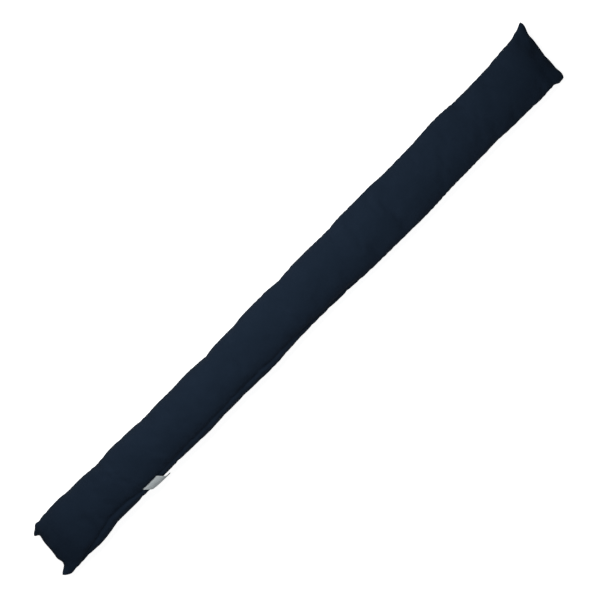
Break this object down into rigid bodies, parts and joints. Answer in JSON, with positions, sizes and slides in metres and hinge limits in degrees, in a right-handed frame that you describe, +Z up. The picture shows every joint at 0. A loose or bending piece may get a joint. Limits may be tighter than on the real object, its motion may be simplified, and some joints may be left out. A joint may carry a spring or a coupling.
{
  "type": "draught excluder",
  "caption": "Long stuffed cloth tube for the foot of a door, flat underneath, with pointed corner ears and a small care label in one side seam.",
  "frame": {"origin": "centre of the bounding box's bottom, on the surface that the tube lies on", "axes": "+X along the tube, away from the end that is nearer the care label; +Y across it, away from the label's seam; +Z up"},
  "size_m": [0.899, 0.0874, 0.0536],
  "materials": {
    "navy_cotton": "matt, close plain weave",
    "label_tape": "smooth tape with a faint shine"
  },
  "bodies": {
    "root": {"cover": "navy_cotton", "care_label": "label_tape"}
  },
  "joints": []
}
